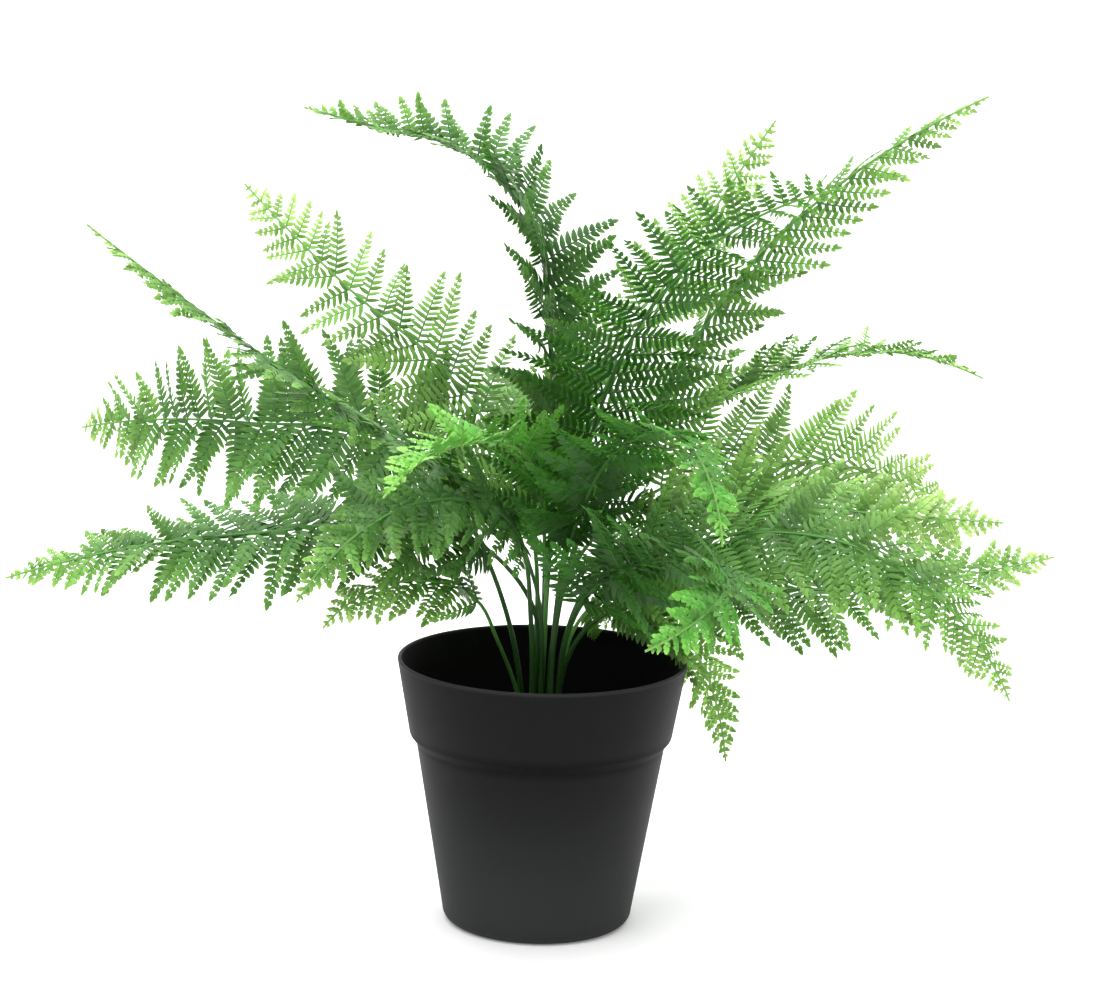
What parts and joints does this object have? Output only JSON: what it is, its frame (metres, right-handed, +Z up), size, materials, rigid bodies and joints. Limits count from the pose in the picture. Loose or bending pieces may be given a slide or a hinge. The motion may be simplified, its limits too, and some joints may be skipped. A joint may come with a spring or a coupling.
{
  "type": "potted fern",
  "caption": "Potted fern: arching, finely cut fronds on slim stalks that rise in a close bunch from a round, tapered pot with a wide rim band, filled with compost.",
  "frame": {"origin": "centre of the pot's flat base, on the surface it stands on", "axes": "+Z up along the pot's axis, -Y towards the front of the plant, +X to the viewer's right"},
  "size_m": [0.4302, 0.3375, 0.3482],
  "materials": {
    "black_plastic": "satin",
    "compost": "rough, matt",
    "leaf_green": "satin"
  },
  "bodies": {
    "root": {"pot": "black_plastic", "soil": "compost", "frond_crown_right": "leaf_green", "frond_upper_right": "leaf_green", "frond_right_fan": "leaf_green", "frond_top_spray": "leaf_green", "frond_back": "leaf_green", "frond_crown_left": "leaf_green", "frond_upper_left": "leaf_green", "frond_low_left": "leaf_green", "frond_mid_left": "leaf_green", "frond_front_left_high": "leaf_green", "frond_front": "leaf_green", "frond_right_mid": "leaf_green", "frond_back_right_high": "leaf_green", "frond_back_right_low": "leaf_green", "frond_left": "leaf_green", "frond_low_left_short": "leaf_green", "frond_front_left_low": "leaf_green", "frond_front_right": "leaf_green", "frond_right_low": "leaf_green", "frond_right_upper": "leaf_green"}
  },
  "joints": []
}
